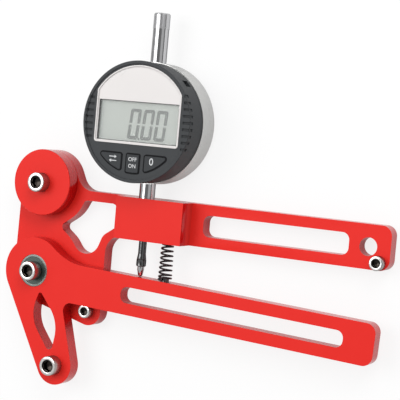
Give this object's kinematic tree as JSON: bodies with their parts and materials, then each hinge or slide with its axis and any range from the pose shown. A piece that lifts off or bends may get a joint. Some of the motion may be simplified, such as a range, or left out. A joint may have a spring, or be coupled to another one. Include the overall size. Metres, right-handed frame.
{
  "type": "spoke tension meter",
  "caption": "Hand-squeezed spoke tension meter: slotted frame and sprung lever with spoke posts, stop screws and a round digital indicator that reads the lever's position",
  "frame": {"origin": "the lever's pivot axis where it meets the back face of the frame plate, on which the tool lies", "axes": "+X along the upper handle towards its free end, +Y from the pivot towards the indicator, +Z out of the tool's face"},
  "size_m": [0.2085, 0.1956, 0.0299],
  "materials": {
    "red_anodised": "satin red anodised",
    "bright_screw": "bright nickel plated",
    "bearing_steel": "ground steel",
    "bearing_shield": "dark oiled shield",
    "dark_steel": "dark polished steel",
    "spring_wire": "blackened spring wire",
    "case_metal": "satin turned metal",
    "dark_plastic": "fine matt moulding",
    "pale_plastic": "smooth pale plate",
    "lcd_glass": "grey-green display",
    "clear_window": "clear",
    "board": "printed board",
    "black_plastic": "matt",
    "black_rubber": "matt",
    "dark_rubber": "matt",
    "polished_steel": "polished",
    "cap_metal": "matt",
    "bush_brass": "turned"
  },
  "bodies": {
    "frame": {"frame_plate": "red_anodised", "upper_disc": "red_anodised", "upper_post_screw": "bright_screw", "pivot_screw": "bright_screw", "pivot_spacer": "bearing_steel", "bearing_inner_ring": "bearing_steel", "bearing_balls": "bearing_steel", "opening_stop_screw": "bright_screw", "closing_stop_screw": "bright_screw", "stem_grub_screw": "dark_steel", "return_spring": "spring_wire", "gauge_case": "case_metal", "gauge_back_cover": "case_metal", "back_cover_screws": "bright_screw", "gauge_bezel": "dark_plastic", "display_plate": "pale_plastic", "lcd_panel": "lcd_glass", "lcd_window": "clear_window", "circuit_board": "board", "coin_cell": "bearing_steel", "battery_clip": "black_plastic", "data_socket": "black_plastic", "button_membrane": "black_rubber", "stem_tube": "polished_steel", "lower_bush": "bush_brass", "upper_tube": "polished_steel", "upper_bush": "bush_brass", "tube_cap": "cap_metal", "sensor_rail": "board", "plunger_spring": "spring_wire"},
    "lever": {"lever_arm": "red_anodised", "lower_post_screw": "bright_screw", "bearing_outer_ring": "bearing_steel", "bearing_shields": "bearing_shield", "spring_pin": "dark_steel"},
    "plunger": {"spindle": "dark_steel", "spindle_collar": "bush_brass", "contact_body": "dark_steel", "contact_tip": "polished_steel"},
    "units_key": {"units_button": "dark_rubber"},
    "power_key": {"power_button": "dark_rubber"},
    "zero_key": {"zero_button": "dark_rubber"}
  },
  "joints": [
    {"name": "lever_hinge", "type": "hinge", "parent": "frame", "child": "lever", "pos_m": [0, 0, 0.01175], "axis": [0, 0, 1], "range_deg": [0, 7.4], "stiffness_Nm_per_rad": 6, "springref_deg": -6.88, "deforming": ["return_spring"]},
    {"name": "spindle_slide", "type": "slide", "parent": "frame", "child": "plunger", "axis": [0, 1, 0], "range_m": [0, 0.0127], "deforming": ["plunger_spring"]},
    {"name": "units_press", "type": "slide", "parent": "frame", "child": "units_key", "axis": [0, 0, -1], "range_m": [0, 0.0006], "stiffness_N_per_m": 800},
    {"name": "power_press", "type": "slide", "parent": "frame", "child": "power_key", "axis": [0, 0, -1], "range_m": [0, 0.0006], "stiffness_N_per_m": 800},
    {"name": "zero_press", "type": "slide", "parent": "frame", "child": "zero_key", "axis": [0, 0, -1], "range_m": [0, 0.0006], "stiffness_N_per_m": 800}
  ],
  "couplings": [
    {"joint": "spindle_slide", "follows": "lever_hinge", "m_per_rad": 0.0623}
  ]
}
